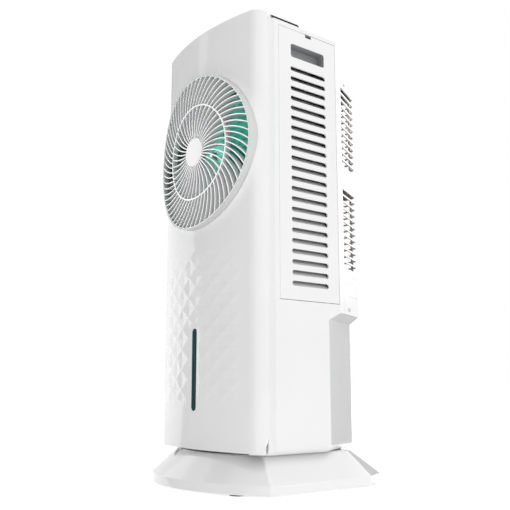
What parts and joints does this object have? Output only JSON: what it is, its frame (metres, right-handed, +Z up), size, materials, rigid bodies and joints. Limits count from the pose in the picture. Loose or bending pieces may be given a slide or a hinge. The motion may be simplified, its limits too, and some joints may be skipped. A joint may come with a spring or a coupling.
{
  "type": "evaporative cooler",
  "caption": "Free-standing tower evaporative air cooler with a round fan grille, slotted side panels, wetted pads, pump and water tank on a splayed base.",
  "frame": {"origin": "on the floor, centred under the cooler's bounding box", "axes": "+Z up along the tower, -Y towards the fan grille (front), +X to the right seen from the front"},
  "size_m": [0.392, 0.3799, 0.915],
  "materials": {
    "white_shell": "glossy moulded ABS",
    "fan_teal": "glossy turquoise polypropylene",
    "level_glazing": "dark teal tinted acrylic",
    "deck_black": "gloss black touch panel",
    "key_grey": "satin grey keys",
    "dark_plastic": "dark moulded plastic",
    "grey_plastic": "grey moulded plastic",
    "tank_plastic": "natural polypropylene",
    "net_plastic": "fine nylon mesh in a thin frame",
    "pad_cellulose": "corrugated cellulose honeycomb",
    "painted_steel": "grey painted steel",
    "zinc_steel": "zinc plated",
    "foot_rubber": "soft black rubber",
    "board_green": "circuit board",
    "hose_pvc": "grey flexible PVC"
  },
  "bodies": {
    "cooler": {"base_plate": "white_shell", "rear_casing": "white_shell", "front_shell": "white_shell", "grille_bezel": "white_shell", "front_grille": "white_shell", "hub_cap": "white_shell", "rear_grille": "white_shell", "top_cover": "white_shell", "foot_front_left": "foot_rubber", "foot_front_right": "foot_rubber", "foot_rear_left": "foot_rubber", "foot_rear_right": "foot_rubber", "base_screws": "zinc_steel", "shroud_screws": "zinc_steel", "bracket_screws": "zinc_steel", "motor_screws": "zinc_steel", "rear_grille_screws": "zinc_steel", "lid_pin": "zinc_steel", "water_tank": "tank_plastic", "level_window": "level_glazing", "window_seal": "foot_rubber", "fan_shroud": "dark_plastic", "motor_bracket": "painted_steel", "motor_body": "painted_steel", "rear_pad": "pad_cellulose", "control_deck": "deck_black", "display_window": "deck_black", "control_box": "dark_plastic", "control_board": "board_green", "fill_funnel": "grey_plastic", "water_distributor": "grey_plastic", "pump_body": "dark_plastic", "pump_strainer": "dark_plastic", "pump_hose": "hose_pvc", "hose_clips": "grey_plastic", "cord_gland": "dark_plastic", "wiring_harness": "dark_plastic"},
    "fan": {"motor_shaft": "zinc_steel", "fan_blades": "fan_teal", "fan_nut": "dark_plastic"},
    "panel_right": {"side_panel_right": "white_shell", "pad_frame_right": "grey_plastic", "cooling_pad_right": "pad_cellulose", "dust_net_right": "net_plastic"},
    "panel_left": {"side_panel_left": "white_shell", "pad_frame_left": "grey_plastic", "cooling_pad_left": "pad_cellulose", "dust_net_left": "net_plastic"},
    "latch_right": {"panel_latch_right": "dark_plastic"},
    "latch_left": {"panel_latch_left": "dark_plastic"},
    "lid": {"fill_lid": "white_shell"},
    "pump_rotor": {"pump_impeller": "grey_plastic"},
    "drain": {"drain_plug": "grey_plastic", "drain_seal": "foot_rubber"},
    "key_1": {"button_1": "key_grey"},
    "key_2": {"button_2": "key_grey"},
    "key_3": {"button_3": "key_grey"},
    "key_4": {"button_4": "key_grey"},
    "key_5": {"button_5": "key_grey"},
    "key_6": {"button_6": "key_grey"}
  },
  "joints": [
    {"name": "fan_spin", "type": "hinge", "parent": "cooler", "child": "fan", "pos_m": [0, -0.08, 0.6548], "axis": [0, 1, 0], "continuous": true},
    {"name": "pump_spin", "type": "hinge", "parent": "cooler", "child": "pump_rotor", "pos_m": [-0.04, 0.115, 0.09], "axis": [0, 0, 1], "continuous": true},
    {"name": "panel_right_tilt", "type": "hinge", "parent": "cooler", "child": "panel_right", "pos_m": [0.1635, 0.007, 0.3485], "axis": [0, 1, 0], "range_deg": [0, 20]},
    {"name": "panel_left_tilt", "type": "hinge", "parent": "cooler", "child": "panel_left", "pos_m": [-0.1635, 0.007, 0.3485], "axis": [0, -1, 0], "range_deg": [0, 20]},
    {"name": "latch_right_press", "type": "slide", "parent": "panel_right", "child": "latch_right", "axis": [0, 0, -1], "range_m": [0, 0.003], "stiffness_N_per_m": 300, "springref_m": -0.002},
    {"name": "latch_left_press", "type": "slide", "parent": "panel_left", "child": "latch_left", "axis": [0, 0, -1], "range_m": [0, 0.003], "stiffness_N_per_m": 300, "springref_m": -0.002},
    {"name": "lid_hinge", "type": "hinge", "parent": "cooler", "child": "lid", "pos_m": [0, 0.101, 0.9114], "axis": [-1, 0, 0], "range_deg": [0, 95]},
    {"name": "drain_plug_pull", "type": "slide", "parent": "cooler", "child": "drain", "axis": [0, 1, 0], "range_m": [0, 0.03]},
    {"name": "button_1_press", "type": "slide", "parent": "cooler", "child": "key_1", "axis": [0, 0, -1], "range_m": [0, 0.0012], "stiffness_N_per_m": 400, "springref_m": -0.001},
    {"name": "button_2_press", "type": "slide", "parent": "cooler", "child": "key_2", "axis": [0, 0, -1], "range_m": [0, 0.0012], "stiffness_N_per_m": 400, "springref_m": -0.001},
    {"name": "button_3_press", "type": "slide", "parent": "cooler", "child": "key_3", "axis": [0, 0, -1], "range_m": [0, 0.0012], "stiffness_N_per_m": 400, "springref_m": -0.001},
    {"name": "button_4_press", "type": "slide", "parent": "cooler", "child": "key_4", "axis": [0, 0, -1], "range_m": [0, 0.0012], "stiffness_N_per_m": 400, "springref_m": -0.001},
    {"name": "button_5_press", "type": "slide", "parent": "cooler", "child": "key_5", "axis": [0, 0, -1], "range_m": [0, 0.0012], "stiffness_N_per_m": 400, "springref_m": -0.001},
    {"name": "button_6_press", "type": "slide", "parent": "cooler", "child": "key_6", "axis": [0, 0, -1], "range_m": [0, 0.0012], "stiffness_N_per_m": 400, "springref_m": -0.001}
  ]
}
